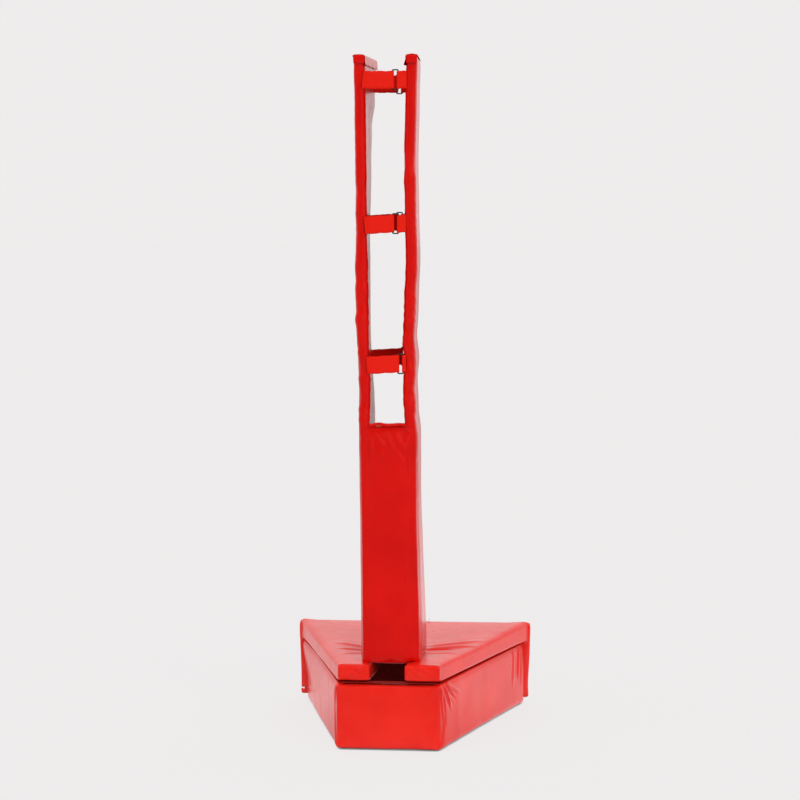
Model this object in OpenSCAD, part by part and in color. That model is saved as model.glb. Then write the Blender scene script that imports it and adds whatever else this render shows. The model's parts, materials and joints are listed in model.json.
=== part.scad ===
// Padding for a free-standing volleyball post: a tall U-shaped post pad, held round the
// post by six strap and ring closures, that stands on a box-shaped base pad.
// X runs to the right, Y to the back and Z up. The origin is on the floor, at the middle
// of the base. All sizes are in millimetres.

/* [Base pad] */
// Width of the top pad along its front edge
base_front_w = 300; // [240:5:360]
// Width of the top pad along its back edge
base_back_w = 740; // [600:10:900]
// Depth of the top pad from front to back
base_depth = 680; // [560:10:800]
// Thickness of the top pad
top_pad_t = 50; // [40:5:80]
// Height of the top pad's underside above the floor
skirt_h = 200; // [150:5:260]
// Thickness of the front and side skirts
skirt_t = 30; // [25:1:40]
// How far the side skirts' rear ends sit inside the top pad's edge
skirt_inset = 17; // [10:1:40]
// Thickness of the rear flap
rear_flap_t = 25; // [20:1:30]
// Width of the slot for the post in the top pad
slot_w = 100; // [80:1:104]
// Length of the slot, from the front edge
slot_len = 335; // [320:5:360]

/* [Post pad] */
// Height of the whole part
total_h = 2000; // [1800:10:2200]
// Outer width of the post pad at its foot
post_w = 165; // [160:1:180]
// Depth of the wings from front to back
wing_depth = 300; // [280:5:310]
// Thickness of the wings and the front panel
pad_t = 28; // [25:1:35]
// Height of the front panel's top edge above the floor
panel_top = 945; // [800:5:1000]
// How far each wing leans out at its top
splay = 7; // [0:1:14]
// Distance of the post pad's front face behind the base's front edge
set_back = 42; // [38:1:48]
// Angle that the post pad stands turned on its base
post_turn = 4.5; // [0:0.5:5]

/* [Straps] */
// Width of the webbing
strap_w = 50; // [40:1:50]
// Thickness of the webbing
strap_t = 1.5; // [1.2:0.1:1.8]
// Height of the lowest pair of straps
low_strap_h = 1120; // [1080:1:1150]
// Height of the middle pair of straps
mid_strap_h = 1521; // [1450:1:1550]
// Height of the top pair of straps
top_strap_h = 1928; // [1880:1:1930]
// Thickness of the ring's wire
wire_d = 3.6; // [3:0.1:4]
// Outer width of a ring
ring_w = 21; // [20:1:24]
// Outer height of a ring
ring_h = 60; // [58:1:66]

/* [Cover] */
// Thickness of the vinyl cover
vinyl_t = 1; // [0.8:0.1:1.2]
// Air between the cover and the foam
foam_gap = 1; // [0.5:0.1:2]

/* [Hidden] */
$fn = 48;

vinyl_red = [0.80, 0.10, 0.06];
webbing_red = [0.91, 0.15, 0.08];
foam_cream = [0.93, 0.88, 0.72];
wire_black = [0.08, 0.08, 0.08];
tape_red = [0.62, 0.08, 0.06];
label_white = [0.95, 0.95, 0.95];

// Air between two pads that lie against each other
pad_gap = 0.5;
// Thickness of hook tape and of loop tape
tape_t = 0.8;
// Width of the tapes on the skirts, and how far they stop short of the pads' ends
tape_w = 20;
tape_end = 12;
// Height of the rear flap's lower edge above the floor
flap_lift = 8;

// Plan of the top pad's slanted sides, as half widths
front_half = base_front_w / 2;
back_half = base_back_w / 2;
slant = (back_half - front_half) / base_depth;
// Plan of the side skirts: their outer face starts behind the front skirt
skirt_front_y = skirt_t + pad_gap;
skirt_rear_y = base_depth - rear_flap_t - pad_gap;
skirt_rear_half = front_half + slant * skirt_rear_y - skirt_inset;
skirt_angle = atan((skirt_rear_half - front_half) / (skirt_rear_y - skirt_front_y));
skirt_step = skirt_t / cos(skirt_angle);
// Skirts end below the top pad, with a hook tape and a loop tape between them
skirt_top = skirt_h - 2 * tape_t - 2 * pad_gap;

// The post pad's own frame: u to the right, v to the back, from its front face
foot_z = skirt_h + top_pad_t + pad_gap;
closure_t = 2;
wing_top = total_h - closure_t - pad_gap;
half_gap = post_w / 2 - pad_t;
lip_h = 28;

// Half of the space between the wings at a height
function gap_at(z) = half_gap + splay * max(0, z - panel_top) / (wing_top - panel_top);

// Strap closures: the wire's clearance in a webbing fold, and the ring's plane
fold_clear = 0.3;
fold_r = wire_d / 2 + fold_clear;
ring_v = 8;
// Length of a strap's or tab's sewn end, along the wing's inner face
sewn_len = 25;
// How far the tail's free end stops short of the left wing
tail_short = 3;
// Visible length of the tabs that hold the low, middle and top rings
tab_lengths = [8, 22, 22];
strap_heights = [low_strap_h, mid_strap_h, top_strap_h];

// Positions across the channel of a ring's two upright bars
function right_bar(i) = gap_at(strap_heights[i]) - tab_lengths[i] - wire_d / 2;
function left_bar(i) = right_bar(i) - ring_w + wire_d;

// Outline moved inwards by a distance; the points run anticlockwise
function unit(p) = p / norm(p);
function turned(p) = [-p.y, p.x];
function inset(pts, d) = [for (i = [0:len(pts) - 1])
    let (before = pts[(i + len(pts) - 1) % len(pts)], after = pts[(i + 1) % len(pts)],
         na = turned(unit(pts[i] - before)), nb = turned(unit(after - pts[i])))
    pts[i] + d * (na + nb) / (1 + na * nb)];

module in_frame() {
    translate([0, -base_depth / 2, 0]) children();
}

module on_base() {
    in_frame() translate([0, set_back, 0]) rotate([0, 0, post_turn]) children();
}

// A vinyl shell and the foam inside it, from an outline and a height
module shell(outline, h) {
    color(vinyl_red) difference() {
        linear_extrude(h) polygon(outline);
        translate([0, 0, vinyl_t])
            linear_extrude(h - 2 * vinyl_t) polygon(inset(outline, vinyl_t));
    }
}

module core(outline, h) {
    inner = vinyl_t + foam_gap;
    color(foam_cream) translate([0, 0, inner])
        linear_extrude(h - 2 * inner) polygon(inset(outline, inner));
}

// ---- Base pad ----

top_pad_outline = [[-front_half, 0], [-slot_w / 2, 0], [-slot_w / 2, slot_len],
                   [slot_w / 2, slot_len], [slot_w / 2, 0], [front_half, 0],
                   [back_half, base_depth], [-back_half, base_depth]];
front_skirt_outline = [[-front_half, 0], [front_half, 0],
                       [front_half, skirt_t], [-front_half, skirt_t]];
right_skirt_outline = [[front_half - skirt_step, skirt_front_y], [front_half, skirt_front_y],
                       [skirt_rear_half, skirt_rear_y],
                       [skirt_rear_half - skirt_step, skirt_rear_y]];

module top_pad_cover() {
    in_frame() translate([0, 0, skirt_h]) shell(top_pad_outline, top_pad_t);
}

module top_pad_foam() {
    in_frame() translate([0, 0, skirt_h]) core(top_pad_outline, top_pad_t);
}

module front_skirt_cover() {
    in_frame() shell(front_skirt_outline, skirt_top);
}

module front_skirt_foam() {
    in_frame() core(front_skirt_outline, skirt_top);
}

module right_skirt_cover() {
    in_frame() shell(right_skirt_outline, skirt_top);
}

module right_skirt_foam() {
    in_frame() core(right_skirt_outline, skirt_top);
}

module left_skirt_cover() {
    mirror([1, 0, 0]) right_skirt_cover();
}

module left_skirt_foam() {
    mirror([1, 0, 0]) right_skirt_foam();
}

// The rear flap's section: its top edge is round about the hinge line
flap_r = rear_flap_t / 2;
flap_axis_z = skirt_h - flap_r - pad_gap;
flap_section = concat([[-flap_r, flap_lift], [flap_r, flap_lift]],
                      [for (a = [0:15:180]) [flap_r * cos(a), flap_axis_z + flap_r * sin(a)]]);

module flap_place() {
    in_frame() translate([-back_half, base_depth - flap_r, 0]) rotate([90, 0, 90]) children();
}

module rear_flap_cover() {
    flap_place() shell(flap_section, base_back_w);
}

module rear_flap_foam() {
    flap_place() core(flap_section, base_back_w);
}

// Hook tape under the top pad and loop tape on the skirts, along their middles
front_tape_outline = [[-front_half + tape_end, (skirt_t - tape_w) / 2],
                      [front_half - tape_end, (skirt_t - tape_w) / 2],
                      [front_half - tape_end, (skirt_t + tape_w) / 2],
                      [-front_half + tape_end, (skirt_t + tape_w) / 2]];
side_tape_edge = (skirt_t - tape_w) / 2;

module front_tape(z) {
    color(tape_red) in_frame() translate([0, 0, z])
        linear_extrude(tape_t) polygon(front_tape_outline);
}

module right_tape(z) {
    color(tape_red) in_frame() translate([0, 0, z])
        linear_extrude(tape_t) polygon(inset(right_skirt_outline, side_tape_edge));
}

module top_pad_hook_tapes() {
    front_tape(skirt_h - tape_t);
    right_tape(skirt_h - tape_t);
    mirror([1, 0, 0]) right_tape(skirt_h - tape_t);
}

module front_skirt_loop_tape() {
    front_tape(skirt_top);
}

module right_skirt_loop_tape() {
    right_tape(skirt_top);
}

module left_skirt_loop_tape() {
    mirror([1, 0, 0]) right_tape(skirt_top);
}

// Small blank labels sewn to the top pad's back edge and to the rear flap's inner face
module top_pad_label() {
    color(label_white) in_frame()
        translate([50, base_depth - 24, skirt_h + top_pad_t]) cube([16, 12, 0.6]);
}

module rear_flap_label() {
    color(label_white) in_frame()
        translate([-back_half + 6, base_depth - rear_flap_t - 0.6, 34]) cube([12, 0.6, 5]);
}

// ---- Post pad ----

// A wing seen from the front, and its side view with the step that clears the panel
function wing_front_view(g) = [[half_gap, foot_z], [half_gap + pad_t, foot_z],
    [half_gap + pad_t, panel_top], [half_gap + pad_t + g, wing_top],
    [half_gap + g, wing_top], [half_gap, panel_top]];
wing_side_view = [[pad_t + pad_gap, foot_z], [wing_depth, foot_z], [wing_depth, wing_top],
                  [0, wing_top], [0, panel_top + pad_gap], [pad_t + pad_gap, panel_top + pad_gap]];

module right_wing(d) {
    intersection() {
        translate([0, wing_depth, 0]) rotate([90, 0, 0])
            linear_extrude(wing_depth) polygon(inset(wing_front_view(splay), d));
        rotate([90, 0, 90]) linear_extrude(post_w) polygon(inset(wing_side_view, d));
    }
}

module right_wing_shell() {
    color(vinyl_red) difference() {
        right_wing(0);
        right_wing(vinyl_t);
    }
}

module right_wing_cover() {
    on_base() right_wing_shell();
}

module right_wing_foam() {
    on_base() color(foam_cream) right_wing(vinyl_t + foam_gap);
}

module left_wing_cover() {
    on_base() mirror([1, 0, 0]) right_wing_shell();
}

module left_wing_foam() {
    on_base() mirror([1, 0, 0]) color(foam_cream) right_wing(vinyl_t + foam_gap);
}

panel_outline = [[-post_w / 2, 0], [post_w / 2, 0], [post_w / 2, pad_t], [-post_w / 2, pad_t]];

module front_panel_cover() {
    on_base() translate([0, 0, foot_z]) shell(panel_outline, panel_top - foot_z);
}

module front_panel_foam() {
    on_base() translate([0, 0, foot_z]) core(panel_outline, panel_top - foot_z);
}

// A closure flap over the end of a pocket, with a lip that hangs down the inner face.
// Its section starts at the hinged edge, at the left.
closure_lip_t = 1.5;
closure_lip_gap = 1;

module closure(reach, len) {
    lip = reach + closure_lip_gap;
    section = [[0, 0], [lip, 0], [lip, -lip_h], [lip + closure_lip_t, -lip_h],
               [lip + closure_lip_t, closure_t], [0, closure_t]];
    color(vinyl_red) rotate([90, 0, 0]) linear_extrude(len, center = true) polygon(section);
}

wing_top_outer = half_gap + pad_t + splay;
closure_end = 4;

module left_wing_closure() {
    on_base() translate([-wing_top_outer, wing_depth / 2, wing_top + pad_gap])
        closure(pad_t, wing_depth - 2 * closure_end);
}

module right_wing_closure() {
    on_base() mirror([1, 0, 0]) translate([-wing_top_outer, wing_depth / 2, wing_top + pad_gap])
        closure(pad_t, wing_depth - 2 * closure_end);
}

module front_panel_closure() {
    on_base() translate([0, 0, panel_top + pad_gap]) rotate([0, 0, 90])
        closure(pad_t, 2 * (half_gap - closure_end));
}

// ---- Strap closures, drawn at the front; the rear ones are their mirror images ----

module at_strap(i, rear) {
    on_base() translate([0, rear ? wing_depth : 0, strap_heights[i]])
        mirror([0, rear ? 1 : 0, 0]) translate([0, ring_v, 0]) children();
}

// Half of a webbing fold round a wire, on the side that u or -u points to
module fold(side) {
    intersection() {
        difference() {
            circle(fold_r + strap_t);
            circle(fold_r);
        }
        translate([side > 0 ? 0 : -2 * fold_r - strap_t, -2 * fold_r])
            square([2 * fold_r + strap_t, 4 * fold_r]);
    }
}

module webbing() {
    color(webbing_red) linear_extrude(strap_w, center = true) children();
}

// The strap: sewn to the left wing, it runs behind the tail as far as the ring
module strap(i, rear) {
    g = gap_at(strap_heights[i]) - 2 * fold_clear;
    at_strap(i, rear) webbing() {
        translate([-g, fold_r]) square([g + left_bar(i) - 2 * fold_r, strap_t]);
        translate([-g, fold_r]) square([strap_t, sewn_len]);
    }
}

// The tail: it folds round the ring's left bar and comes back to the left
module tail(i, rear) {
    g = gap_at(strap_heights[i]) - tail_short;
    at_strap(i, rear) webbing() {
        translate([left_bar(i), 0]) fold(1);
        translate([-g, -fold_r - strap_t]) square([g + left_bar(i), strap_t]);
    }
}

// Tape between the strap and its tail
tape_from_ring = 8;
tape_from_end = 6;
strap_tape_w = 40;

module strap_tape(i, rear, v) {
    g = gap_at(strap_heights[i]) - tail_short;
    u = -g + tape_from_end;
    at_strap(i, rear) color(tape_red) linear_extrude(strap_tape_w, center = true)
        translate([u, v]) square([left_bar(i) - tape_from_ring - u, tape_t]);
}

module hook_tape(i, rear) {
    strap_tape(i, rear, -fold_r);
}

module strap_loop_tapes() {
    for (i = [0:2], rear = [false, true]) strap_tape(i, rear, fold_r - tape_t);
}

// The tab: folded round the ring's right bar and sewn to the right wing
module ring_tab(i, rear) {
    g = gap_at(strap_heights[i]) - 2 * fold_clear;
    run = g - right_bar(i);
    at_strap(i, rear) webbing() translate([right_bar(i), 0]) {
        fold(-1);
        translate([0, fold_r]) square([run, strap_t]);
        translate([0, -fold_r - strap_t]) square([run, strap_t]);
        translate([run - strap_t, -fold_r - strap_t]) square([strap_t, sewn_len]);
    }
}

// The ring: a rectangle of round wire with bent corners
module ring(i, rear) {
    bend_r = 4;
    half_w = (ring_w - wire_d) / 2;
    half_h = (ring_h - wire_d) / 2;
    at_strap(i, rear) color(wire_black) translate([left_bar(i) + half_w, 0, 0]) {
        for (s = [-1, 1]) {
            translate([s * half_w, 0, 0])
                cylinder(d = wire_d, h = 2 * (half_h - bend_r), center = true);
            translate([0, 0, s * half_h]) rotate([0, 90, 0])
                cylinder(d = wire_d, h = 2 * (half_w - bend_r), center = true);
        }
        for (sx = [0, 1], sz = [0, 1]) mirror([sx, 0, 0]) mirror([0, 0, sz])
            translate([half_w - bend_r, 0, half_h - bend_r]) rotate([90, 0, 0])
                rotate_extrude(angle = 90) translate([bend_r, 0]) circle(d = wire_d);
    }
}

top_pad_cover();
top_pad_foam();
front_skirt_cover();
front_skirt_foam();
left_skirt_cover();
left_skirt_foam();
right_skirt_cover();
right_skirt_foam();
rear_flap_cover();
rear_flap_foam();
top_pad_hook_tapes();
front_skirt_loop_tape();
left_skirt_loop_tape();
right_skirt_loop_tape();
top_pad_label();
rear_flap_label();
front_panel_cover();
front_panel_foam();
left_wing_cover();
left_wing_foam();
right_wing_cover();
right_wing_foam();
left_wing_closure();
right_wing_closure();
front_panel_closure();
strap_loop_tapes();
strap(0, false);  // front_low_strap
tail(0, false);  // front_low_tail
hook_tape(0, false);  // front_low_hook_tape
ring(0, false);  // front_low_ring
ring_tab(0, false);  // front_low_ring_tab
strap(1, false);  // front_mid_strap
tail(1, false);  // front_mid_tail
hook_tape(1, false);  // front_mid_hook_tape
ring(1, false);  // front_mid_ring
ring_tab(1, false);  // front_mid_ring_tab
strap(2, false);  // front_top_strap
tail(2, false);  // front_top_tail
hook_tape(2, false);  // front_top_hook_tape
ring(2, false);  // front_top_ring
ring_tab(2, false);  // front_top_ring_tab
strap(0, true);  // rear_low_strap
tail(0, true);  // rear_low_tail
hook_tape(0, true);  // rear_low_hook_tape
ring(0, true);  // rear_low_ring
ring_tab(0, true);  // rear_low_ring_tab
strap(1, true);  // rear_mid_strap
tail(1, true);  // rear_mid_tail
hook_tape(1, true);  // rear_mid_hook_tape
ring(1, true);  // rear_mid_ring
ring_tab(1, true);  // rear_mid_ring_tab
strap(2, true);  // rear_top_strap
tail(2, true);  // rear_top_tail
hook_tape(2, true);  // rear_top_hook_tape
ring(2, true);  // rear_top_ring
ring_tab(2, true);  // rear_top_ring_tab
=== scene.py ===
import json
import math

import bmesh
import bpy
from mathutils import Matrix, Vector, noise
from mathutils.bvhtree import BVHTree


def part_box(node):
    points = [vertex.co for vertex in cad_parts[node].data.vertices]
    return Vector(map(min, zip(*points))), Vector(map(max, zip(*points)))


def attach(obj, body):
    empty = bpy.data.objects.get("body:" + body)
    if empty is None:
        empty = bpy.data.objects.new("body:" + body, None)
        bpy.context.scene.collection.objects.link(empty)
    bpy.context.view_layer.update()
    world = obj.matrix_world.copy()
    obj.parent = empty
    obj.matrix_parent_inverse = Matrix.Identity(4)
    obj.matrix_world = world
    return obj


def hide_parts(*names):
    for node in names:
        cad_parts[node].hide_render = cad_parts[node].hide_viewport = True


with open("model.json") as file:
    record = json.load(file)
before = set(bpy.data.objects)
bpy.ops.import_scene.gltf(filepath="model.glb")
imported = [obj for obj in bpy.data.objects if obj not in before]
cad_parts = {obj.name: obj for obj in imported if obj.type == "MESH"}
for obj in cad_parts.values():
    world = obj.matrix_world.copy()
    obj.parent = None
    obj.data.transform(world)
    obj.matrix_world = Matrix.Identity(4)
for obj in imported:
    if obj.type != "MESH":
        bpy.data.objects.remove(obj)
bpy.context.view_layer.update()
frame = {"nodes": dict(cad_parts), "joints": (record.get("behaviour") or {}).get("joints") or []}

scene = bpy.context.scene
joints = {j["name"]: j for j in frame["joints"]}

# ---- Places and sizes, in metres, from the frame ----

TOP_LO, TOP_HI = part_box("top_pad_cover")
FRONT_LO, FRONT_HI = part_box("front_skirt_cover")
FLAP_LO, FLAP_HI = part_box("rear_flap_cover")
SKIRT_LO, SKIRT_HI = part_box("right_skirt_cover")
WING_LO, WING_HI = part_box("right_wing_cover")
PANEL_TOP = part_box("front_panel_cover")[1].z

FRONT_HALF = FRONT_HI.x
BACK_HALF = TOP_HI.x
SLOT_HALF = 0.0515
SLOT_LEN = 0.335
SKIRT_REAR_HALF = SKIRT_HI.x
SKIRT_T = FRONT_HI.y - FRONT_LO.y

# The post pad has a frame of its own: u across, v from its front face to the back
HINGE = joints["panel_closure_open"]
U = Vector(HINGE["axis"]).normalized()
V = Vector((-U.y, U.x, 0))
POST_ORIGIN = Vector((HINGE["pos_m"][0], HINGE["pos_m"][1], 0))
POST = Matrix((
    (U.x, V.x, 0, POST_ORIGIN.x),
    (U.y, V.y, 0, POST_ORIGIN.y),
    (0, 0, 1, 0),
    (0, 0, 0, 1)))
POST_HALF = 0.0825
PAD_T = 0.028
HALF_GAP = POST_HALF - PAD_T
WING_DEPTH = 0.300
SPLAY = 0.007
FOOT_Z = WING_LO.z
WING_TOP = WING_HI.z
IDENTITY = Matrix.Identity(4)
STRAP_W = 0.050
STRAP_T = 0.0015
FOLD_R = 0.0021


def gap_at(z):
    """Half of the space between the wings at a height."""
    return HALF_GAP + SPLAY * max(0.0, z - PANEL_TOP) / (WING_TOP - PANEL_TOP)


def smooth(a, b, x):
    """0 below a, 1 above b, and a smooth step between them."""
    t = min(1.0, max(0.0, (x - a) / (b - a)))
    return t * t * (3 - 2 * t)


# ---- Materials ----

def new_material(name):
    mat = bpy.data.materials.new(name)
    mat.use_nodes = True
    nodes, links = mat.node_tree.nodes, mat.node_tree.links
    shader = nodes["Principled BSDF"]
    coords = nodes.new("ShaderNodeTexCoord").outputs["Object"]
    return mat, nodes, links, shader, coords


def noise_node(nodes, links, coords, scale, detail=3.0, roughness=0.5):
    n = nodes.new("ShaderNodeTexNoise")
    n.inputs["Scale"].default_value = scale
    n.inputs["Detail"].default_value = detail
    n.inputs["Roughness"].default_value = roughness
    links.new(coords, n.inputs["Vector"])
    return n


def ramp(nodes, links, factor, stops):
    r = nodes.new("ShaderNodeValToRGB")
    for element, (place, colour) in zip(r.color_ramp.elements, (stops[0], stops[-1])):
        element.position = place
        element.color = (*colour, 1)
    for place, colour in stops[1:-1]:
        r.color_ramp.elements.new(place).color = (*colour, 1)
    links.new(factor, r.inputs["Fac"])
    return r.outputs["Color"]


def map_range(nodes, links, value, low, high, start=0.0, stop=1.0):
    m = nodes.new("ShaderNodeMapRange")
    m.inputs["From Min"].default_value = start
    m.inputs["From Max"].default_value = stop
    m.inputs["To Min"].default_value = low
    m.inputs["To Max"].default_value = high
    links.new(value, m.inputs["Value"])
    return m.outputs["Result"]


def add_bump(nodes, links, shader, height, strength, distance, before=None):
    b = nodes.new("ShaderNodeBump")
    b.inputs["Strength"].default_value = strength
    b.inputs["Distance"].default_value = distance
    links.new(height, b.inputs["Height"])
    if before is not None:
        links.new(before, b.inputs["Normal"])
    links.new(b.outputs["Normal"], shader.inputs["Normal"])
    return b.outputs["Normal"]


def vinyl(name, dark, light, rough):
    """Coated fabric: soft gloss, fine grain, dimples and cloudy wear. In deep gaps, where little light comes
    in, its colour is painted dark and its coat thinned by ambient occlusion: painted shade."""
    mat, nodes, links, shader, coords = new_material(name)
    clouds = noise_node(nodes, links, coords, 9, 4)
    colour = ramp(nodes, links, clouds.outputs["Fac"], [(0.35, dark), (0.68, light)])
    # Painted shade: ambient occlusion pulls the base colour towards near black (0.006, 0, 0) in deep gaps
    # and thins the coat there.
    painted_shade_ao = nodes.new("ShaderNodeAmbientOcclusion")
    painted_shade_ao.samples = 6
    painted_shade_ao.inputs["Distance"].default_value = 0.6
    open_air = map_range(nodes, links, painted_shade_ao.outputs["AO"], 0, 1, 0.10, 0.17)
    shade = nodes.new("ShaderNodeMix")
    shade.data_type = "RGBA"
    links.new(open_air, shade.inputs["Factor"])
    shade.inputs["A"].default_value = (0.006, 0, 0, 1)
    links.new(colour, shade.inputs["B"])
    links.new(shade.outputs["Result"], shader.inputs["Base Color"])
    smears = noise_node(nodes, links, coords, 23, 5, 0.62)
    links.new(map_range(nodes, links, smears.outputs["Fac"], rough - 0.05, rough + 0.07, 0.3, 0.7),
              shader.inputs["Roughness"])
    shader.inputs["Specular IOR Level"].default_value = 0.03
    links.new(map_range(nodes, links, open_air, 0, 0.55), shader.inputs["Coat Weight"])
    shader.inputs["Coat Roughness"].default_value = 0.20
    shader.inputs["Coat IOR"].default_value = 1.5
    grain = nodes.new("ShaderNodeTexVoronoi")
    grain.inputs["Scale"].default_value = 620
    links.new(coords, grain.inputs["Vector"])
    normal = add_bump(nodes, links, shader, grain.outputs["Distance"], 0.10, 0.0004)
    dimples = noise_node(nodes, links, coords, 46, 3)
    normal = add_bump(nodes, links, shader, dimples.outputs["Fac"], 0.10, 0.0016, normal)
    links.new(normal, shader.inputs["Coat Normal"])
    return mat


def weave(name, dark, light, along, across, relief, rough):
    """Woven cloth: ribs in two directions, at along and across threads a metre."""
    mat, nodes, links, shader, coords = new_material(name)
    split = nodes.new("ShaderNodeSeparateXYZ")
    links.new(coords, split.inputs["Vector"])
    plan = nodes.new("ShaderNodeMath")
    plan.operation = "ADD"
    links.new(split.outputs["X"], plan.inputs[0])
    links.new(split.outputs["Y"], plan.inputs[1])
    threads = []
    for source, pitch in ((plan.outputs[0], along), (split.outputs["Z"], across)):
        scaled = nodes.new("ShaderNodeMath")
        scaled.operation = "MULTIPLY"
        scaled.inputs[1].default_value = pitch * math.tau
        links.new(source, scaled.inputs[0])
        wave = nodes.new("ShaderNodeMath")
        wave.operation = "SINE"
        links.new(scaled.outputs[0], wave.inputs[0])
        threads.append(wave.outputs[0])
    crossed = nodes.new("ShaderNodeMath")
    crossed.operation = "MULTIPLY"
    links.new(threads[0], crossed.inputs[0])
    links.new(threads[1], crossed.inputs[1])
    fuzz = noise_node(nodes, links, coords, 900, 2)
    height = nodes.new("ShaderNodeMath")
    height.operation = "MULTIPLY_ADD"
    height.inputs[1].default_value = 0.5
    links.new(crossed.outputs[0], height.inputs[0])
    links.new(fuzz.outputs["Fac"], height.inputs[2])
    colour = ramp(nodes, links, map_range(nodes, links, height.outputs[0], 0, 1, -0.1, 1.1),
                  [(0.1, dark), (0.8, light)])
    links.new(colour, shader.inputs["Base Color"])
    shader.inputs["Roughness"].default_value = rough
    shader.inputs["Specular IOR Level"].default_value = 0.15
    add_bump(nodes, links, shader, height.outputs[0], 0.5, relief)
    return mat


def pile(name, dark, light, scale):
    """The rough face of hook tape, loop tape or foam."""
    mat, nodes, links, shader, coords = new_material(name)
    tufts = nodes.new("ShaderNodeTexVoronoi")
    tufts.inputs["Scale"].default_value = scale
    links.new(coords, tufts.inputs["Vector"])
    colour = ramp(nodes, links, tufts.outputs["Distance"], [(0.1, light), (0.7, dark)])
    links.new(colour, shader.inputs["Base Color"])
    shader.inputs["Roughness"].default_value = 0.95
    add_bump(nodes, links, shader, tufts.outputs["Distance"], 0.8, 0.0006)
    return mat


def painted_wire(name):
    mat, nodes, links, shader, coords = new_material(name)
    wear = noise_node(nodes, links, coords, 160, 3)
    colour = ramp(nodes, links, wear.outputs["Fac"],
                  [(0.4, (0.008, 0.008, 0.009)), (0.75, (0.03, 0.03, 0.032))])
    links.new(colour, shader.inputs["Base Color"])
    links.new(map_range(nodes, links, wear.outputs["Fac"], 0.25, 0.45), shader.inputs["Roughness"])
    add_bump(nodes, links, shader, wear.outputs["Fac"], 0.15, 0.0002)
    return mat


# Painted light: the base vinyl is set lighter than the post vinyl, standing in for the stronger light that
# falls on the base pads.
POST_VINYL = vinyl("post_vinyl", (0.56, 0.002, 0.0004), (0.63, 0.003, 0.0006), 0.34)
BASE_VINYL = vinyl("base_vinyl", (0.71, 0.012, 0.006), (0.79, 0.018, 0.009), 0.32)
WEBBING = weave("red_webbing", (0.58, 0.006, 0.002), (0.84, 0.014, 0.004), 420, 640, 0.0005, 0.72)
LABEL = weave("white_label", (0.74, 0.74, 0.74), (0.90, 0.90, 0.89), 1200, 1200, 0.0001, 0.7)
HOOKS = pile("hook_tape", (0.20, 0.006, 0.004), (0.50, 0.016, 0.010), 900)
LOOPS = pile("loop_tape", (0.30, 0.008, 0.005), (0.58, 0.020, 0.012), 650)
FOAM = pile("foam", (0.62, 0.52, 0.30), (0.88, 0.80, 0.56), 480)
WIRE = painted_wire("black_wire")


# ---- Mesh helpers ----

def link_mesh(name, mesh, material):
    obj = bpy.data.objects.new(name, mesh)
    scene.collection.objects.link(obj)
    mesh.materials.clear()
    mesh.materials.append(material)
    return obj


def from_lists(name, verts, faces, material):
    mesh = bpy.data.meshes.new(name)
    mesh.from_pydata([tuple(v) for v in verts], [], faces)
    mesh.update()
    return link_mesh(name, mesh, material)


def bake(obj):
    """Applies every modifier of an object."""
    graph = bpy.context.evaluated_depsgraph_get()
    mesh = bpy.data.meshes.new_from_object(obj.evaluated_get(graph))
    old = obj.data
    obj.modifiers.clear()
    obj.data = mesh
    bpy.data.meshes.remove(old)


def modify(obj, kind, **settings):
    m = obj.modifiers.new(kind.lower(), kind)
    for key, value in settings.items():
        setattr(m, key, value)
    return m


def prism(outline, lo, hi, place):
    """The corners and faces of an upright prism over an outline that runs anticlockwise."""
    n = len(outline)
    verts = [place @ Vector((x, y, z)) for z in (lo, hi) for x, y in outline]
    faces = [list(range(n))[::-1], [n + i for i in range(n)]]
    faces += [[i, (i + 1) % n, n + (i + 1) % n, n + i] for i in range(n)]
    return verts, faces


def inset(outline, d):
    """The outline moved inwards by d."""
    moved = []
    for i, point in enumerate(outline):
        a, b, c = Vector(outline[i - 1]), Vector(point), Vector(outline[(i + 1) % len(outline)])
        na = Vector((-(b - a).y, (b - a).x)).normalized()
        nb = Vector((-(c - b).y, (c - b).x)).normalized()
        moved.append(b + d * (na + nb) / (1 + na.dot(nb)))
    return moved


def solid(name, parts, material, round_off, voxel):
    """One soft solid from several prisms: rounded edges, then an even mesh."""
    verts, faces = [], []
    for part_verts, part_faces in parts:
        start = len(verts)
        verts += part_verts
        faces += [[start + i for i in f] for f in part_faces]
    obj = from_lists(name, verts, faces, material)
    modify(obj, "BEVEL", width=round_off, segments=4, limit_method="ANGLE")
    bake(obj)
    true_shape = bpy.data.objects.new("true_shape", obj.data.copy())
    scene.collection.objects.link(true_shape)
    modify(obj, "REMESH", mode="VOXEL", voxel_size=voxel)
    modify(obj, "SHRINKWRAP", target=true_shape)
    bake(obj)
    bpy.data.objects.remove(true_shape)
    return obj


def swell(jobs, frames=20):
    """Blows the pads up a little with Cloth, all at once. jobs holds (pad, pressure, cap, slack)."""
    before = []
    for obj, pressure, cap, slack in jobs:
        cloth = obj.modifiers.new("cloth", "CLOTH").settings
        cloth.quality = 4
        cloth.mass = 0.25
        cloth.tension_stiffness = cloth.compression_stiffness = 12
        cloth.shear_stiffness = 5
        cloth.bending_stiffness = 0.4
        cloth.use_pressure = True
        cloth.uniform_pressure_force = pressure
        cloth.shrink_min = -slack
        cloth.effector_weights.gravity = 0
        before.append([v.co.copy() for v in obj.data.vertices])
    for number in range(1, frames + 1):
        scene.frame_set(number)
    for (obj, _, cap, _), start in zip(jobs, before):
        bake(obj)
        for vert, rest in zip(obj.data.vertices, start):
            step = vert.co - rest
            if step.length > cap:
                vert.co = rest + step * (cap / step.length)
    scene.frame_set(1)


def soften(obj, repeat=4, factor=0.5):
    modify(obj, "SMOOTH", factor=factor, iterations=repeat)
    bake(obj)


def sculpt(obj, move):
    """Moves each point by move(point, normal), which returns a vector."""
    mesh = obj.data
    steps = [move(v.co.copy(), v.normal.copy()) for v in mesh.vertices]
    for vert, step in zip(mesh.vertices, steps):
        vert.co += step
    mesh.update()


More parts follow.
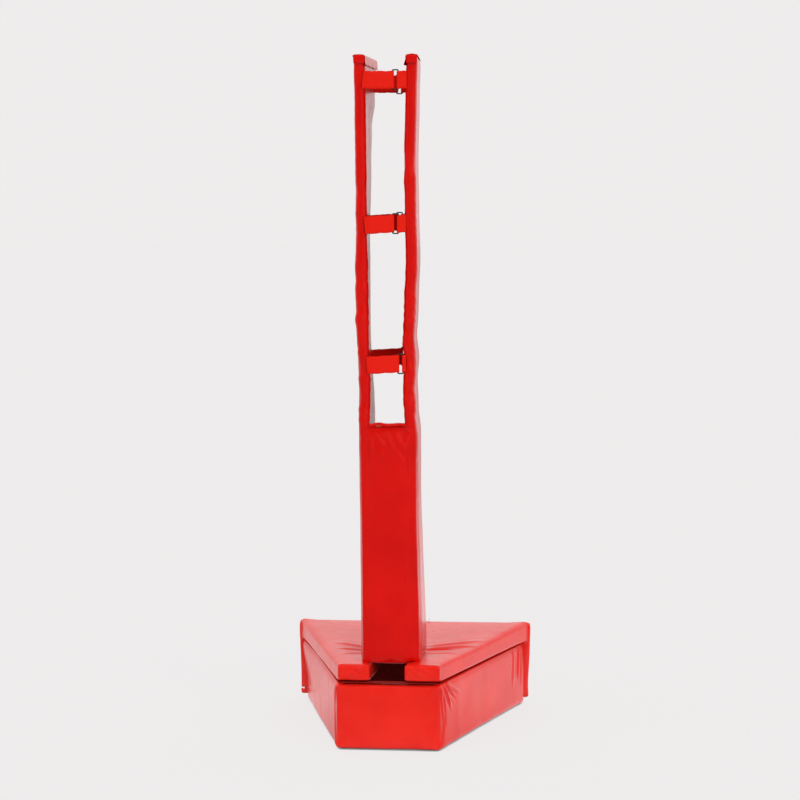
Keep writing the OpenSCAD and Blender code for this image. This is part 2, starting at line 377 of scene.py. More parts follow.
def finish_soft(obj, levels=1):
    modify(obj, "SUBSURF", levels=levels, render_levels=levels)
    bake(obj)
    obj.data.shade_smooth()


def crease(p, n, start, end, width, height):
    """The height at p of a fold from start to end, which fades out at its ends. Only distance
    along the surface counts, and n is the surface's normal."""
    line = end - start
    t = (p - start).dot(line) / line.length_squared
    if not -0.1 < t < 1.1:
        return 0.0
    away = p - start - line * t
    off = (away - n * away.dot(n)).length / width
    if off > 2.5:
        return 0.0
    fade = smooth(-0.1, 0.25, t) * (1 - smooth(0.6, 1.1, t))
    return height * fade * math.exp(-off * off) * (1 - 1.1 * off * off)


# ---- Base pad ----

SOFT = 0.007
VOXEL = 0.006
FILL = 0.0005


def grown(outline):
    return inset(outline, FILL)


def base_outline():
    y0, y1 = TOP_LO.y, TOP_HI.y
    return [(-FRONT_HALF, y0), (-SLOT_HALF, y0), (-SLOT_HALF, y0 + SLOT_LEN),
            (SLOT_HALF, y0 + SLOT_LEN), (SLOT_HALF, y0), (FRONT_HALF, y0),
            (BACK_HALF, y1), (-BACK_HALF, y1)]


def skirts_outline():
    """The three skirts in plan: one cover, folded at the front corners."""
    y0, y1, y2 = FRONT_LO.y, FRONT_HI.y, SKIRT_HI.y
    lean = math.atan((SKIRT_REAR_HALF - FRONT_HALF) / (y2 - y0))
    step = SKIRT_T / math.cos(lean)
    inner = FRONT_HALF - step + math.tan(lean) * SKIRT_T
    right = [(FRONT_HALF, y0), (SKIRT_REAR_HALF, y2), (SKIRT_REAR_HALF - step, y2), (inner, y1)]
    return right + [(-x, y) for x, y in reversed(right)]


def flap_outline():
    return [(FLAP_LO.x, FLAP_LO.y), (FLAP_HI.x, FLAP_LO.y), (FLAP_HI.x, FLAP_HI.y), (FLAP_LO.x, FLAP_HI.y)]


skirts = solid("skirts", [prism(grown(skirts_outline()), 0.0005, SKIRT_HI.z, IDENTITY)],
               BASE_VINYL, SOFT, VOXEL)
lid = solid("lid", [prism(grown(base_outline()), TOP_LO.z, TOP_HI.z, IDENTITY),
                    prism(grown(flap_outline()), FLAP_LO.z, TOP_HI.z - 0.004, IDENTITY)],
            BASE_VINYL, SOFT, VOXEL)


# ---- Post pad: one sewn cover over the front panel and both wings ----

def wing_part(side):
    """A wing as a prism along v, over its outline seen from the front."""
    points = [(HALF_GAP, FOOT_Z), (POST_HALF, FOOT_Z), (POST_HALF, PANEL_TOP),
              (POST_HALF + SPLAY, WING_TOP), (HALF_GAP + SPLAY, WING_TOP), (HALF_GAP, PANEL_TOP)]
    if side < 0:
        points = [(-u, z) for u, z in reversed(points)]
    turn = Matrix(((1, 0, 0, 0), (0, 0, -1, 0), (0, 1, 0, 0), (0, 0, 0, 1)))
    return prism(grown(points), FILL - WING_DEPTH, -FILL, POST @ turn)


def panel_part():
    u = HALF_GAP + 0.01
    return prism([(-u, FILL), (u, FILL), (u, PAD_T - FILL), (-u, PAD_T - FILL)],
                 FOOT_Z + FILL, PANEL_TOP - FILL, POST)


post_pad = solid("post_pad_cover", [wing_part(-1), wing_part(1), panel_part()], POST_VINYL, SOFT, VOXEL)

PRESSURE = 2.5
swell([(skirts, PRESSURE, 0.003, 0.012), (lid, PRESSURE, 0.003, 0.01), (post_pad, PRESSURE, 0.0035, 0.012)])


def table(pairs, x):
    """A smooth run through a few (place, value) pairs that rise in place."""
    for (x0, y0), (x1, y1) in zip(pairs, pairs[1:]):
        if x < x1:
            return y0 + (y1 - y0) * smooth(x0, x1, x)
    return pairs[-1][1]


# Runs of (height, lean along u)
LEFT_FRONT_LEAN = [(0.95, 0), (1.05, 0.003), (1.25, -0.001), (1.75, 0.001), (2.0, 0)]
LEFT_REAR_LEAN = [(0.95, 0), (1.20, -0.010), (1.45, -0.007), (1.70, 0.001), (1.80, 0.005),
                  (1.88, 0.016), (2.0, 0.020)]
RIGHT_LEAN = [(0.90, 0), (0.97, -0.006), (1.05, -0.009), (1.12, -0.005), (1.19, -0.010),
              (1.28, -0.006), (1.42, -0.001), (1.55, -0.004), (1.70, -0.006), (1.90, -0.002),
              (2.0, 0.001)]


def wing_drift(side, v, z):
    """How far a wing leans along u where its foam is slack, at a depth and a height."""
    if side > 0:
        return table(RIGHT_LEAN, z)
    front, rear = table(LEFT_FRONT_LEAN, z), table(LEFT_REAR_LEAN, z)
    return front + (rear - front) * min(1.0, max(0.0, v / WING_DEPTH))


def drift(p):
    """The lean of the wing at a point of the post pad, in the post pad's own frame."""
    side = 1 if p.x > 0 else -1
    return Vector((wing_drift(side, p.y, p.z), 0, 0)) * smooth(0.035, 0.05, abs(p.x))


def folds(p, n, lines):
    """The push along the normal that a list of folds gives at a point."""
    return n * sum(crease(p, n, Vector(a), Vector(b), width, height) for a, b, width, height in lines)


def dents(p, n, spots):
    """The push inwards that a list of (place, radius, depth) gives at a point."""
    push = 0.0
    for place, radius, depth in spots:
        away = p - Vector(place)
        off = (away - 0.7 * n * away.dot(n)).length / radius
        if off < 3:
            push -= depth * math.exp(-off * off)
    return n * push


def ripple(p, scale, seed):
    """Noise with sharp valleys, from -1 to 1, for gathered vinyl."""
    q = Vector((p.x * scale[0], p.y * scale[1], p.z * scale[2])) + Vector((seed, seed, seed))
    return 1 - 2 * abs(noise.noise(q)) * 1.6


# Folds: (start, end, width, height), in the post pad's own frame
PANEL_FOLDS = [
    ((-0.040, 0, 0.922), (-0.012, 0, 0.880), 0.008, 0.0036),
    ((-0.008, 0, 0.926), (0.018, 0, 0.866), 0.009, 0.0036),
    ((0.016, 0, 0.872), (0.066, 0, 0.806), 0.012, 0.0020),
    ((0.046, 0, 0.942), (0.070, 0, 0.918), 0.006, 0.0028),
    ((0.020, 0, 0.915), (0.052, 0, 0.862), 0.009, 0.0018),
    ((-0.078, 0, 0.905), (-0.058, 0, 0.930), 0.006, 0.0026),
    ((-0.078, 0, 0.938), (-0.058, 0, 0.950), 0.006, 0.0024),
    ((-0.052, 0, 0.910), (-0.048, 0, 0.850), 0.008, 0.0020),
    ((-0.030, 0, 0.880), (0.000, 0, 0.825), 0.010, 0.0014)]

# Dents: (place, radius, depth); a negative depth is a bulge
WING_DENTS = [
    ((-0.0865, 0.004, 1.615), 0.022, 0.0040), ((-0.0860, 0.004, 1.500), 0.026, 0.0030),
    ((-0.0840, 0.004, 1.110), 0.024, 0.0045), ((-0.0850, 0.010, 1.330), 0.030, -0.0035),
    ((-0.0850, 0.010, 1.250), 0.032, -0.0040), ((-0.0850, 0.010, 1.400), 0.030, -0.0030),
    ((-0.0830, 0.006, 1.025), 0.022, 0.0035), ((-0.0830, 0.006, 0.965), 0.018, -0.0020),
    ((0.0830, 0.004, 1.690), 0.026, 0.0040), ((0.0820, 0.004, 1.125), 0.022, 0.0040),
    ((0.0820, 0.004, 1.255), 0.018, 0.0030), ((0.0820, 0.004, 1.040), 0.020, 0.0025),
    ((0.0550, 0.004, 1.220), 0.014, 0.0025), ((0.0540, 0.004, 1.175), 0.018, -0.0025),
    ((0.0560, 0.004, 1.000), 0.020, -0.0020), ((-0.0560, 0.004, 1.300), 0.018, 0.0020),
    ((-0.0560, 0.004, 1.080), 0.018, -0.0022), ((0.0580, 0.004, 1.640), 0.030, -0.0020)]


def shape_post(p, n):
    """The looks of the post pad: leaning wings, a flared foot, gathers at the straps, folds on
    the panel."""
    q, m = POST.inverted() @ p, POST.to_3x3().inverted() @ n
    move = drift(q)
    flare = (1 - smooth(FOOT_Z, 0.75, q.z)) * smooth(-0.05, 0.08, q.x)
    move.x += flare * (0.007 + 0.006 * min(1.0, max(0.0, q.y / WING_DEPTH)))
    above = smooth(PANEL_TOP - 0.02, PANEL_TOP + 0.02, q.z)
    front = 1 - smooth(0.02, 0.07, q.y)
    slack = table([(0.9, 0.2), (0.98, 1.0), (1.25, 0.9), (1.45, 0.45), (1.9, 0.25), (2.0, 0.1)], q.z)
    tilt = q.z + 0.6 * q.x + 0.5 * q.y
    gathers = ripple(Vector((q.x * 0.5, q.y * 0.5, tilt)), (22, 12, 34), 3.7)
    move += m * above * slack * (0.0011 * gathers * front + 0.0007 * ripple(q, (9, 9, 13), 8.1))
    move += m * 0.0006 * (1 - above) * ripple(q, (8, 8, 5), 1.3)
    if m.y < -0.3 and q.z < 0.97:
        move += folds(q, m, PANEL_FOLDS)
    move += dents(q, m, WING_DENTS) * above
    move.z -= 0.003 * (1 - smooth(FOOT_Z, FOOT_Z + 0.012, q.z))
    return POST.to_3x3() @ move


# Folds of the base pad: (start, end, width, height)
TOP_FOLDS = [
    ((-0.088, -0.135, 0.25), (-0.185, -0.105, 0.25), 0.014, 0.0035),
    ((-0.088, -0.095, 0.25), (-0.200, -0.020, 0.25), 0.016, 0.0040),
    ((-0.088, -0.175, 0.25), (-0.160, -0.185, 0.25), 0.012, 0.0020),
    ((0.082, -0.125, 0.25), (0.170, -0.095, 0.25), 0.011, -0.0045),
    ((0.082, -0.105, 0.25), (0.230, -0.040, 0.25), 0.015, 0.0045),
    ((0.082, -0.060, 0.25), (0.250, 0.040, 0.25), 0.018, 0.0035),
    ((0.085, -0.165, 0.25), (0.190, -0.150, 0.25), 0.014, 0.0020)]

ARM_FOLDS = [
    ((-0.128, -0.34, 0.218), (-0.062, -0.34, 0.247), 0.007, 0.0042),
    ((-0.140, -0.34, 0.210), (-0.060, -0.34, 0.231), 0.007, 0.0034),
    ((-0.110, -0.34, 0.238), (-0.066, -0.34, 0.216), 0.006, -0.0030),
    ((0.056, -0.34, 0.246), (0.112, -0.34, 0.213), 0.007, 0.0044),
    ((0.054, -0.34, 0.236), (0.082, -0.34, 0.206), 0.006, 0.0038),
    ((0.070, -0.34, 0.247), (0.130, -0.34, 0.228), 0.007, 0.0028)]


def shape_lid(p, n):
    """The looks of the top pad and its rear flap."""
    move = Vector((0, 0, 0))
    if n.z > 0.5:
        move += folds(p, n, TOP_FOLDS)
        move += n * 0.0004 * ripple(p, (3, 9, 4), 5.2)
    elif n.y < -0.4 and p.y < TOP_LO.y + 0.02:
        move += folds(p, n, ARM_FOLDS)
        for side in (-1, 1):
            off = (p - Vector((side * 0.098, p.y, 0.2255))).length
            move += n * 0.0035 * math.exp(-(off / 0.035) ** 2)
    else:
        move += n * 0.0003 * ripple(p, (4, 4, 6), 2.2)
    arm = 1 - smooth(TOP_LO.y + 0.02, TOP_LO.y + 0.16, p.y)
    move.x -= arm * (0.006 if p.x < 0 else 0.003) * (1 - smooth(0.06, 0.10, abs(p.x)))
    lip = 1 - smooth(TOP_LO.y + 0.004, TOP_LO.y + 0.03, p.y)
    move.z += 0.003 * lip * (1 - smooth(TOP_LO.z, TOP_LO.z + 0.02, p.z)) + 0.002 * lip
    move.z += 0.006 * smooth(-0.05, 0.30, p.y) * smooth(TOP_LO.z + 0.01, TOP_HI.z, p.z)
    if p.z < TOP_LO.z and p.y > FLAP_LO.y - 0.01:
        hang = 1 - smooth(FLAP_LO.z, TOP_LO.z, p.z)
        move.z += 0.006 * hang
        move.x -= (0.008 if p.x > 0 else -0.003) * hang * smooth(0.25, 0.36, abs(p.x))
    if p.z < TOP_LO.z + 0.003 and n.z < 0.3 and p.y < FLAP_LO.y - 0.01:
        move.z = max(move.z, TOP_LO.z - p.z)
    return move


SKIRT_FOLDS = [
    ((0.158, -0.318, 0.196), (0.172, -0.262, 0.110), 0.009, 0.0045),
    ((0.156, -0.312, 0.196), (0.190, -0.200, 0.148), 0.008, 0.0035),
    ((0.157, -0.316, 0.196), (0.180, -0.232, 0.130), 0.006, -0.0035),
    ((0.151, -0.330, 0.190), (0.156, -0.312, 0.080), 0.007, 0.0030),
    ((0.322, 0.262, 0.195), (0.318, 0.250, 0.080), 0.010, -0.0050),
    ((0.330, 0.285, 0.195), (0.328, 0.280, 0.060), 0.010, 0.0030),
    ((0.312, 0.225, 0.190), (0.308, 0.215, 0.070), 0.012, 0.0025)]


def shape_skirts(p, n):
    """The looks of the skirts: upright ripples, and folds at the right one's ends."""
    move = n * 0.0004 * ripple(p, (9, 9, 2.2), 6.4)
    if n.x > 0.5:
        move += folds(p, n, SKIRT_FOLDS)
    rear = smooth(0.0, SKIRT_HI.y, p.y)
    if p.x < 0:
        move.x -= rear * (0.013 * smooth(0.06, 0.19, p.z) - 0.002)
        move.x -= 0.004 * (1 - smooth(FRONT_LO.y, FRONT_LO.y + 0.06, p.y)) * smooth(0.1, 0.14, -p.x)
    else:
        move.x += 0.004 * rear
    move.z = min(move.z, SKIRT_HI.z + 0.001 - p.z) if n.z > 0.5 else move.z
    front = 1 - smooth(FRONT_LO.y + 0.006, FRONT_LO.y + 0.024, p.y)
    move.z -= 0.003 * front * smooth(0.17, SKIRT_HI.z, p.z)
    move.y -= 0.0022 * front * math.exp(-((p.z - 0.190) / 0.004) ** 2)
    return move


for pad, shape in ((skirts, shape_skirts), (lid, shape_lid), (post_pad, shape_post)):
    soften(pad, 1)
    finish_soft(pad)
    sculpt(pad, shape)


def cut(source, name, planes):
    """The part of a solid on the inner side of each (point, outward normal), closed at the cuts.
    Its outside keeps the whole solid's shading, so that a fold closes without a seam."""
    bm = bmesh.new()
    bm.from_mesh(source.data)
    kept = bm.verts.layers.float_vector.new("kept_normal")
    for vert in bm.verts:
        vert[kept] = vert.normal
    for point, normal in planes:
        everything = bm.verts[:] + bm.edges[:] + bm.faces[:]
        done = bmesh.ops.bisect_plane(bm, geom=everything, plane_co=point, plane_no=normal, clear_outer=True)
        rim = [e for e in done["geom_cut"] if isinstance(e, bmesh.types.BMEdge)]
        for face in bmesh.ops.holes_fill(bm, edges=rim)["faces"]:
            face.smooth = False
    normals = [vert[kept] if face.smooth else face.normal for face in bm.faces for vert in face.verts]
    normals = [tuple(n) for n in normals]
    mesh = bpy.data.meshes.new(name)
    bm.to_mesh(mesh)
    bm.free()
    obj = link_mesh(name, mesh, source.data.materials[0])
    mesh.normals_split_custom_set(normals)
    return obj


FOLD_Y = SKIRT_LO.y - 0.0002
FLAP_SPLIT = TOP_LO.z - 0.0005
front_skirt = cut(skirts, "front_skirt", [((0, FOLD_Y, 0), (0, 1, 0))])
right_skirt = cut(skirts, "right_skirt", [((0, FOLD_Y, 0), (0, -1, 0)), ((0, 0, 0), (-1, 0, 0))])
left_skirt = cut(skirts, "left_skirt", [((0, FOLD_Y, 0), (0, -1, 0)), ((0, 0, 0), (1, 0, 0))])
top_pad = cut(lid, "top_pad", [((0, 0, FLAP_SPLIT), (0, 0, -1))])
rear_flap = cut(lid, "rear_flap", [((0, 0, FLAP_SPLIT), (0, 0, 1)), ((0, FLAP_LO.y - 0.02, 0), (0, -1, 0))])
for whole in (skirts, lid):
    bpy.data.objects.remove(whole)

for pad, body, nodes in (
        (top_pad, "top_pad", ("top_pad_cover", "top_pad_foam")),
        (front_skirt, "base_front", ("front_skirt_cover", "front_skirt_foam")),
        (right_skirt, "right_skirt", ("right_skirt_cover", "right_skirt_foam")),
        (left_skirt, "left_skirt", ("left_skirt_cover", "left_skirt_foam")),
        (rear_flap, "rear_flap", ("rear_flap_cover", "rear_flap_foam")),
        (post_pad, "post_pad", ("front_panel_cover", "front_panel_foam", "left_wing_cover",
                                "left_wing_foam", "right_wing_cover", "right_wing_foam"))):
    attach(pad, body)
    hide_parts(*nodes)

# ---- Closures: vinyl flaps over the ends of the foam pockets ----

def skin(name, grids, material, thickness):
    """A thin sheet through one or more grids of points."""
    points, faces = [], []
    for rows in grids:
        first, across = len(points), len(rows[0])
        points += [p for row in rows for p in row]
        faces += [[first + i * across + j, first + i * across + j + 1,
                   first + (i + 1) * across + j + 1, first + (i + 1) * across + j]
                  for i in range(len(rows) - 1) for j in range(across - 1)]
    obj = from_lists(name, points, faces, material)
    modify(obj, "SOLIDIFY", thickness=thickness, offset=0)
    bake(obj)
    obj.data.shade_smooth()
    return obj


def spread(a, b, count):
    return [a + (b - a) * i / (count - 1) for i in range(count)]


LIP_H = 0.028
TAB_H = 0.024


def wing_closure(side, kick):
    """Hinged at the wing's outer top edge. Its lip hangs down the inner face and a tab down the
    front. kick pushes the lip's front end inwards."""
    outer, inner = POST_HALF + SPLAY, HALF_GAP + SPLAY
    section = [(outer + 0.0026, -0.0035), (outer + 0.0022, -0.0015), (outer - 0.001, 0.0008)]
    section += [(u, 0.0008 + 0.0016 * math.sin(math.pi * (outer - u) / PAD_T))
                for u in spread(outer - 0.004, inner + 0.003, 8)]
    section += [(inner - 0.001, 0.0008), (inner - 0.0036, -0.002)]
    section += [(inner - 0.0042, z) for z in spread(-0.005, -LIP_H, 7)]
    rows = []
    for v in spread(-0.0024, WING_DEPTH - 0.001, 60):
        row = []
        for u, z in section:
            droop = smooth(0.010, LIP_H, -z) * smooth(0.0, 0.01, outer - u)
            lift = 0.0006 * noise.noise(Vector((u * 60, v * 30, 4.0 + side)))
            u_out = kick * droop * (1 - smooth(0.0, 0.05, v)) + 0.0012 * droop * math.sin(v * 70)
            point = Vector((side * (u - u_out), v, WING_TOP + z + lift))
            row.append(POST @ (point + Vector((wing_drift(side, v, WING_TOP), 0, 0))))
        rows.append(row)
    tab = []
    for drop in spread(0.0, TAB_H, 6):
        push = -0.0024 - 0.0010 * math.sin(math.pi * drop / TAB_H)
        flare = 0.0016 * (1 - drop / TAB_H)
        tab.append([POST @ Vector((side * u + wing_drift(side, 0, WING_TOP), push, WING_TOP + 0.0008 - drop))
                    for u in spread(outer + flare, inner - 0.0025, 8)])
    length = sum((rows[30][i] - rows[30][i + 1]).length for i in range(len(section) - 1))
    return [rows, tab], (length, (rows[0][0] - rows[-1][0]).length + TAB_H * PAD_T / length)


# Bumps along the panel closure's top: (place along u, width, height)
TOP_WAVES = [(-0.027, 0.014, 0.0045), (0.030, 0.016, 0.0022), (-0.052, 0.006, -0.0025),
             (0.054, 0.008, -0.0035)]


def panel_closure():
    """Hinged at the panel's top front edge; slack, so its top stands up in low waves."""
    half = HALF_GAP - 0.001
    section = [(-0.0030, -0.005), (-0.0034, -0.002), (-0.001, 0.0010)]
    section += [(v, 0.0014) for v in spread(0.004, PAD_T - 0.003, 7)]
    section += [(PAD_T, 0.0006), (PAD_T + 0.0016, -0.002)]
    section += [(PAD_T + 0.002, z) for z in spread(-0.005, -LIP_H, 7)]
    rows = []
    for u in spread(-half, half, 44):
        wave = sum(height * math.exp(-((u - place) / width) ** 2) for place, width, height in TOP_WAVES)
        row = []
        for v, z in section:
            top = smooth(-0.010, 0.0, z) * (1 - 0.5 * smooth(0.0, PAD_T, v))
            row.append(POST @ Vector((u, v, PANEL_TOP + z + wave * top)))
        rows.append(row)
    length = sum((rows[20][i] - rows[20][i + 1]).length for i in range(len(section) - 1))
    return [rows], (length, 2 * half)


for name, body, shape in (
        ("left_closure", "left_wing_closure", wing_closure(-1, 0.001)),
        ("right_closure", "right_wing_closure", wing_closure(1, 0.005)),
        ("panel_closure", "front_panel_closure", panel_closure())):
    grids, flat = shape
    flap = skin(name, grids, POST_VINYL, 0.0012)
    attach(flap, body)
    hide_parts(body)


# ---- Foam that shows at the pocket mouths when a closure is open ----

def foam_end(name, outline, top):
    """The end of a foam core just under a pocket's mouth."""
    obj = solid(name, [prism(inset(outline, 0.006), top - 0.014, top - 0.001, POST)], FOAM, 0.0015, 0.003)
    if name != "panel_foam_end":
        side = -1 if outline[0][0] < 0 else 1
        for vert in obj.data.vertices:
            local = POST.inverted() @ vert.co
            vert.co = POST @ (local + Vector((wing_drift(side, local.y, top), 0, 0)))
    obj.data.shade_smooth()
    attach(obj, "post_pad")
    return obj


IN, OUT = HALF_GAP + SPLAY, POST_HALF + SPLAY
foam_end("right_wing_foam_end", [(IN, 0), (OUT, 0), (OUT, WING_DEPTH), (IN, WING_DEPTH)], WING_TOP)
foam_end("left_wing_foam_end", [(-OUT, 0), (-IN, 0), (-IN, WING_DEPTH), (-OUT, WING_DEPTH)], WING_TOP)
foam_end("panel_foam_end", [(-HALF_GAP, 0), (HALF_GAP, 0), (HALF_GAP, PAD_T), (-HALF_GAP, PAD_T)], PANEL_TOP)


# ---- Straps: webbing round black wire rings ----

STRAP_SLOPE = {"low": 0.055, "mid": 0.060, "top": 0.0}
WEB_R = FOLD_R + STRAP_T / 2
FOLD_SLACK = 0.0014
RING_V = 0.008


def arc(centre, start, stop, count=9):
    """Points on a slack webbing fold round a wire, at angles in degrees from +u towards +v."""
    angles = [math.radians(a) for a in spread(start, stop, count)]
    return [(centre + (WEB_R + FOLD_SLACK) * math.cos(a), RING_V + WEB_R * math.sin(a)) for a in angles]


def ribbon(name, path, rear, middle, slope, slants=(0.0, 0.0)):
    """Webbing on edge along a path of (u, v); slants lean its two ends. The rear ones are mirrored."""
    rows = []
    pivot = path[-1][0]
    for i, (u, v) in enumerate(path):
        row = []
        lean = slants[0] if i == 0 else slants[1] if i == len(path) - 1 else 0.0
        for h in spread(-STRAP_W / 2, STRAP_W / 2, 9):
            depth = v + 0.0006 * math.sin(h * 90 + i * 0.7) * (0.2 if i in (0, len(path) - 1) else 1)
            depth = WING_DEPTH - depth if rear else depth
            height = middle + h + slope * (u - pivot) + 0.0008 * math.sin(i * 0.9)
            row.append(POST @ Vector((u + lean * h / STRAP_W, depth, height)))
        rows.append(row)
    obj = skin(name, [rows], WEBBING, STRAP_T)
    return obj


def line(a, b, count):
    return list(zip(spread(a[0], b[0], count), spread(a[1], b[1], count)))


for end in ("front", "rear"):
    for height in ("low", "mid", "top"):
        set_name = f"{end}_{height}"
        ring_lo, ring_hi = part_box(f"{set_name}_ring")
        swing = joints[f"{set_name}_ring_swing"]
        peel = joints[f"{set_name}_tail_peel"]
        right_bar = (POST.inverted() @ Vector(swing["pos_m"])).x
        left_bar = (POST.inverted() @ Vector(peel["pos_m"])).x
        middle = (ring_lo.z + ring_hi.z) / 2
        slope = STRAP_SLOPE[height]
        rear = end == "rear"
        depth = WING_DEPTH - RING_V if rear else RING_V
        left_wall = -gap_at(middle) + wing_drift(-1, depth, middle)
        right_wall = gap_at(middle) + wing_drift(1, depth, middle)
        near, far = RING_V - WEB_R, RING_V + WEB_R

        out = -gap_at(middle) + (0.003 if rear else -0.004)
        start = [(left_wall + 0.001, near)] if rear else [(out, -0.0012), (out + 0.005, 0.0006)]
        run = line((max(out, start[-1][0]) + 0.008, near), (left_bar - 0.001, near), 14)
        tail = ribbon(f"{set_name}_tail_web", start + run + arc(left_bar, -90, 90), rear, middle, slope,
                      (0.005 if height == "top" else -0.004, 0.0))
        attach(tail, f"{set_name}_tail")
        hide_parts(f"{set_name}_tail")

        sewn = [(left_wall - 0.001, far + 0.025), (left_wall + 0.0008, far + 0.012),
                (left_wall + 0.0022, far + 0.003)]
        run = line((left_wall + 0.006, far), (left_bar - 0.0002, far), 14)
        strap = ribbon(f"{set_name}_strap_web", sewn + run, rear, middle, slope)
        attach(strap, "post_pad")
        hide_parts(f"{set_name}_strap")

        rise = slope + (0.03 if height == "top" else 0.0)
        inner = line((right_wall + 0.002, near), (right_bar + 0.0005, near), 5)
        outer = line((right_bar + 0.0005, far), (right_wall - 0.003, far), 4)
        sewn = [(right_wall - 0.001, far + 0.003), (right_wall + 0.0005, far + 0.012),
                (right_wall + 0.001, far + 0.022)]
        path = inner + arc(right_bar, 270, 90) + outer + sewn
        tab = ribbon(f"{set_name}_tab_web", path, rear, middle, rise)
        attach(tab, "post_pad")
        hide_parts(f"{set_name}_ring_tab")


# ---- Labels: small blank white tags sewn to the vinyl ----

def label(node, body, base, drop, out, lift, shift):
    """A tag laid on a pad. drop is the way down to the pad, out and lift say how its free end
    stands up, and shift moves it from its CAD place."""
    lo, hi = (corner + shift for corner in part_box(node))
    centre = (lo + hi) / 2
    tree = BVHTree.FromObject(base, bpy.context.evaluated_depsgraph_get())
    rows = []
    for i, x in enumerate(spread(lo.x, hi.x, 9)):
        row = []
        for y, z in zip(spread(lo.y, hi.y, 5), spread(lo.z, hi.z, 5)):
            start = Vector((x, centre.y if drop.y else y, centre.z if drop.z else z))
            hit = tree.ray_cast(start - drop * 0.02, drop)[0] or start
            row.append(hit - drop * 0.0009 + out * lift * (i / 8) ** 2)
        rows.append(row)
    obj = skin(f"{node}_tag", [rows], LABEL, 0.0005)
    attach(obj, body)
    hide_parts(node)


label("top_pad_label", "top_pad", top_pad, Vector((0, 0, -1)), Vector((-0.5, 0, 1)), 0.008,
      Vector((-0.010, -0.016, 0)))
label("rear_flap_label", "rear_flap", rear_flap, Vector((0, 1, 0)), Vector((0, -1, 0)), 0.0016,
      Vector((0, 0, 0)))

# ---- CAD nodes that stay ----

for name, node in frame["nodes"].items():
    if name.endswith("_ring"):
        material = WIRE
    elif name.endswith(("_strap", "_tail", "_ring_tab")):
        material = WEBBING
    elif "hook" in name:
        material = HOOKS
    elif "loop" in name:
        material = LOOPS
    elif name.endswith("_label"):
        material = LABEL
    else:
        material = POST_VINYL
    node.data.materials.clear()
    node.data.materials.append(material)

# ---- Floor, light and camera ----

WALL = (0.86, 0.84, 0.84)
FLOOR_GLOW = 0.928
FLOOR_COLOUR = 0.05


def grey(value):
    return (value, value, value)


def times(nodes, links, a, b):
    product = nodes.new("ShaderNodeMath")
    product.operation = "MULTIPLY"
    links.new(a, product.inputs[0])
    links.new(b, product.inputs[1])
    return product.outputs[0]


def mix_colours(nodes, links, factor, a, b):
    """Mixes a and b by the factor, or multiplies them if it is None. No b means the wall's shade."""
    mix = nodes.new("ShaderNodeMix")
    mix.data_type = "RGBA"
    if factor is None:
        mix.blend_type = "MULTIPLY"
        mix.inputs["Factor"].default_value = 1
    else:
        links.new(factor, mix.inputs["Factor"])
    links.new(a, mix.inputs["A"])
    if b is None:
        mix.inputs["B"].default_value = (*WALL, 1)
    else:
        links.new(b, mix.inputs["B"])
    return mix.outputs["Result"]


def make_floor():
    """Pale floor that glows to the wall's shade and only dims close under the pads, where ambient occlusion
    cuts its glow: a painted shadow. In reflections its near side is dim, like the room behind a
    photographer, and its far side fades a little."""
    size = 60
    mat, nodes, links, shader, coords = new_material("pale_floor")
    floor = from_lists("floor", [(-size, -size, 0), (size, -size, 0), (size, size, 0), (-size, size, 0)],
                       [[0, 1, 2, 3]], mat)
    shader.inputs["Base Color"].default_value = (FLOOR_COLOUR, FLOOR_COLOUR, FLOOR_COLOUR, 1)
    shader.inputs["Roughness"].default_value = 0.95
    shader.inputs["Specular IOR Level"].default_value = 0.0
    shader.inputs["Emission Color"].default_value = (*WALL, 1)
    split = nodes.new("ShaderNodeSeparateXYZ")
    links.new(coords, split.inputs["Vector"])
    near = map_range(nodes, links, split.outputs["Y"], 0.03, 1.45, -0.9, 0.3)
    far = map_range(nodes, links, split.outputs["Y"], 1.0, 0.62, 1.5, 6.0)
    side = map_range(nodes, links, split.outputs["X"], 0.68, 1.0, -0.6, 0.6)
    near = times(nodes, links, times(nodes, links, near, far), side)
    path = nodes.new("ShaderNodeLightPath")
    mix = nodes.new("ShaderNodeMix")
    links.new(path.outputs["Is Glossy Ray"], mix.inputs["Factor"])
    mix.inputs["A"].default_value = FLOOR_GLOW
    links.new(near, mix.inputs["B"])
    # Painted shadow: ambient occlusion cuts the floor's glow close under and inside the pads.
    painted_shade_ao = nodes.new("ShaderNodeAmbientOcclusion")
    painted_shade_ao.inputs["Distance"].default_value = 0.5
    open_sky = map_range(nodes, links, painted_shade_ao.outputs["AO"], 0.1, 1, 0.0, 0.38)
    glow = times(nodes, links, mix.outputs["Result"], open_sky)
    links.new(glow, shader.inputs["Emission Strength"])


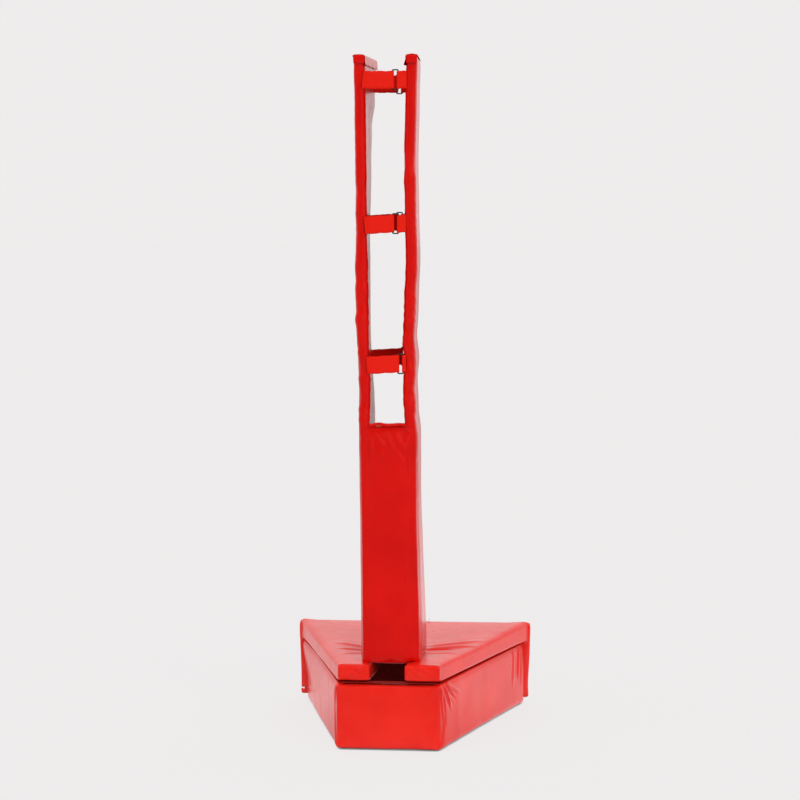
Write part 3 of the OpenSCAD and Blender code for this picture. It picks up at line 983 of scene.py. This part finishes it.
def make_world():
    """Pale all round and dim on the camera's side. The camera itself sees the wall's even shade."""
    world = bpy.data.worlds.new("studio")
    scene.world = world
    world.use_nodes = True
    nodes, links = world.node_tree.nodes, world.node_tree.links
    back = nodes["Background"]
    coords = nodes.new("ShaderNodeTexCoord")
    split = nodes.new("ShaderNodeSeparateXYZ")
    links.new(coords.outputs["Generated"], split.inputs["Vector"])
    height = ramp(nodes, links, split.outputs["Z"],
                  [(0.0, (1.0, 0.98, 0.98)), (0.35, (1.10, 1.08, 1.08)), (1.0, (0.85, 0.83, 0.83))])
    depth = map_range(nodes, links, split.outputs["Y"], 0, 1, -1, 1)
    side = ramp(nodes, links, depth,
                [(0.34, grey(0.04)), (0.50, grey(0.50)), (0.70, grey(1.0)), (1.0, grey(1.0))])
    path = nodes.new("ShaderNodeLightPath")
    light = mix_colours(nodes, links, None, height, side)
    light = mix_colours(nodes, links, path.outputs["Is Camera Ray"], light, None)
    links.new(light, back.inputs["Color"])


def sun(name, azimuth, elevation, strength, angle):
    """A soft sun, unseen in reflections. Azimuth 0 is straight ahead of the pads; angle is its size."""
    lamp = bpy.data.lights.new(name, "SUN")
    lamp.energy = strength
    lamp.angle = math.radians(angle)
    obj = bpy.data.objects.new(name, lamp)
    scene.collection.objects.link(obj)
    a, e = math.radians(azimuth), math.radians(elevation)
    towards = Vector((math.sin(a) * math.cos(e), -math.cos(a) * math.cos(e), math.sin(e)))
    obj.rotation_euler = towards.to_track_quat("Z", "Y").to_euler()
    obj.visible_glossy = False


LENS_MM = 103.8
SENSOR_MM = 36
CAMERA_TURN = (-6.893, 5.303, 0.453)
CAMERA_X = 0.826
CAMERA_DISTANCE = 6.5
CAMERA_HEIGHT = 1.628


def make_camera():
    """The camera, turned by yaw, pitch and roll in degrees."""
    data = bpy.data.cameras.new("camera")
    data.lens = LENS_MM
    data.sensor_width = SENSOR_MM
    obj = bpy.data.objects.new("camera", data)
    scene.collection.objects.link(obj)
    scene.camera = obj
    yaw, pitch, roll = (math.radians(a) for a in CAMERA_TURN)
    forward = Vector((math.sin(yaw) * math.cos(pitch), math.cos(yaw) * math.cos(pitch), -math.sin(pitch)))
    right = Vector((math.cos(yaw), -math.sin(yaw), 0))
    up = right.cross(forward)
    cam_right = right * math.cos(roll) - up * math.sin(roll)
    cam_up = up * math.cos(roll) + right * math.sin(roll)
    turn = Matrix((cam_right, cam_up, -forward)).transposed()
    obj.rotation_euler = turn.to_euler()
    obj.location = (CAMERA_X, TOP_LO.y - CAMERA_DISTANCE, CAMERA_HEIGHT)


make_floor()
make_world()
sun("key", 34, 22, 1.72, 50)
sun("fill", -44, 26, 1.0, 60)
sun("top", 0, 76, 1.0, 60)
make_camera()
scene.view_settings.view_transform = "Standard"
